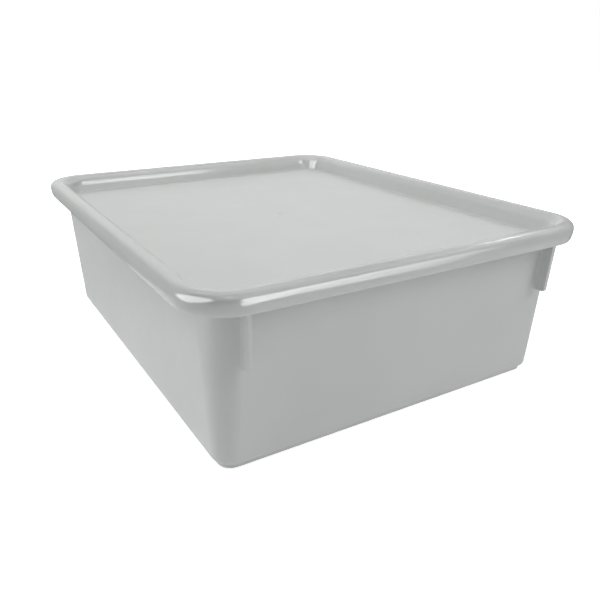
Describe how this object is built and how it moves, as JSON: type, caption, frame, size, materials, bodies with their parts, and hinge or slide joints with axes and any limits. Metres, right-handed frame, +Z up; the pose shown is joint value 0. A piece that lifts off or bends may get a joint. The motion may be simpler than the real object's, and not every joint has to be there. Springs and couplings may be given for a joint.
{
  "type": "lidded storage tote",
  "caption": "Shallow plastic storage tote with drafted walls, rounded corners, nesting fins, a rolled rim and a foot ring, closed by a lift-off lid with a recessed panel and a raised bead.",
  "frame": {"origin": "on the ground under the middle of the closed tote, level with the bottom of its foot ring", "axes": "+Z up, +Y along the tote's length, +X along its width; the short walls with the fins face -Y and +Y"},
  "size_m": [0.342, 0.406, 0.134],
  "materials": {
    "tote_plastic": "semi-gloss moulded polypropylene, light cool grey",
    "lid_plastic": "semi-gloss moulded polypropylene, light cool grey"
  },
  "bodies": {
    "tote": {"tote_body": "tote_plastic"},
    "lid": {"lid": "lid_plastic"}
  },
  "joints": [
    {"name": "lid_lift", "type": "slide", "parent": "tote", "child": "lid", "axis": [0, 0, 1], "range_m": [0, 0.2]}
  ]
}
